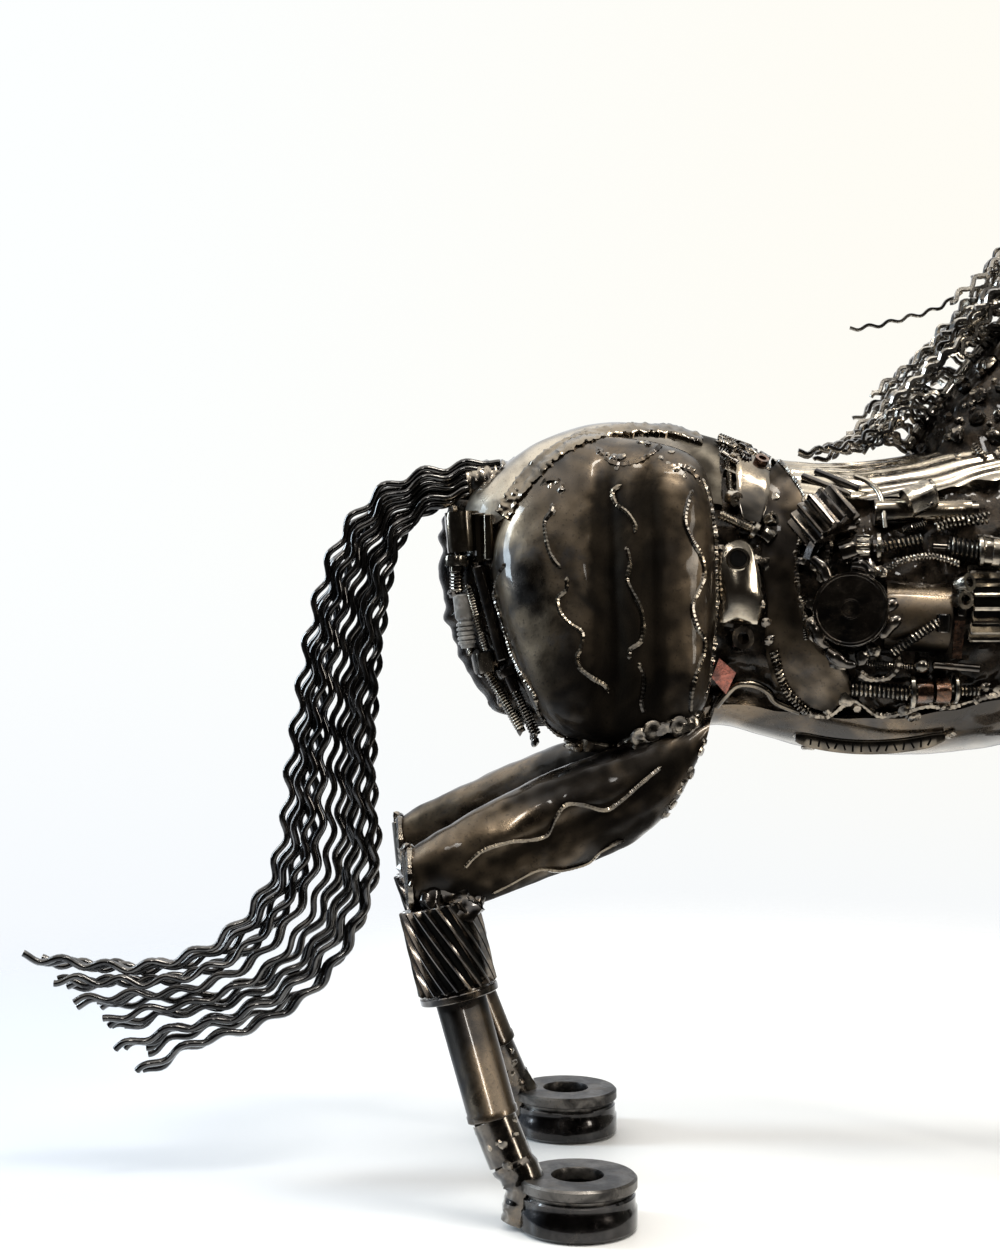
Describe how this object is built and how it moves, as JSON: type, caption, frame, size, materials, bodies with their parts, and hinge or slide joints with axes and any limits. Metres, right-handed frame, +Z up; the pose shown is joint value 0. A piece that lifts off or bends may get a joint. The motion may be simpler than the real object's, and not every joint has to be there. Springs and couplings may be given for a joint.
{
  "type": "scrap metal horse sculpture",
  "caption": "Stepping horse figure welded from bent plates, tubes, gears and crimped wire, standing on three ring hooves with one foreleg raised",
  "frame": {"origin": "on the ground, under the middle of the figure's bounding box", "axes": "+X the way the horse faces, +Y its left side, +Z up"},
  "size_m": [0.6434, 0.208, 0.5283],
  "materials": {
    "dark_steel": "blackened welded scrap under clear lacquer",
    "plate_steel": "heat-tinted bronze-brown sheet under clear gloss lacquer",
    "tube_steel": "drawn tube, lengthwise marks, lacquered",
    "gear_steel": "hardened gear steel, blackened",
    "hoof_steel": "bearing ring, near black, satin",
    "wire_steel": "crimped wire, dark, lacquered",
    "bright_steel": "worn bright steel, lacquered"
  },
  "bodies": {
    "root": {"trunk": "dark_steel", "buttock_studs": "dark_steel", "rear_pastern_right": "dark_steel", "rear_pastern_left": "dark_steel", "fore_pastern_right": "dark_steel", "fore_pastern_left": "dark_steel", "croup_plate": "plate_steel", "belly_plate": "plate_steel", "flank_sheet_right": "plate_steel", "flank_sheet_left": "plate_steel", "thigh_plate_right": "plate_steel", "thigh_plate_left": "plate_steel", "gaskin_right": "plate_steel", "gaskin_left": "plate_steel", "neck": "plate_steel", "head": "plate_steel", "ear_right": "plate_steel", "ear_left": "plate_steel", "forearm_right": "plate_steel", "forearm_left": "plate_steel", "back_plate": "tube_steel", "rear_cannon_right": "tube_steel", "rear_cannon_left": "tube_steel", "fore_cannon_right": "tube_steel", "fore_cannon_left": "tube_steel", "rear_hoof_washer_right": "tube_steel", "rear_hoof_washer_left": "tube_steel", "fore_hoof_washer_right": "tube_steel", "fore_hoof_washer_left": "tube_steel", "hock_gear_right": "gear_steel", "hock_gear_left": "gear_steel", "knee_gear_right": "gear_steel", "knee_gear_left": "gear_steel", "flank_drum_right": "gear_steel", "flank_drum_left": "gear_steel", "flank_sleeve_right": "gear_steel", "flank_sleeve_left": "gear_steel", "flank_socket_tube_right": "gear_steel", "flank_socket_tube_left": "gear_steel", "flank_pinion_right": "gear_steel", "flank_skew_gear_right": "gear_steel", "rear_hoof_ring_right": "hoof_steel", "rear_hoof_ring_left": "hoof_steel", "fore_hoof_ring_right": "hoof_steel", "fore_hoof_ring_left": "hoof_steel", "tail_wires": "wire_steel", "mane_wires": "wire_steel", "flank_bracket": "bright_steel", "eye_right": "bright_steel", "eye_left": "bright_steel", "name_plate": "bright_steel"}
  },
  "joints": []
}
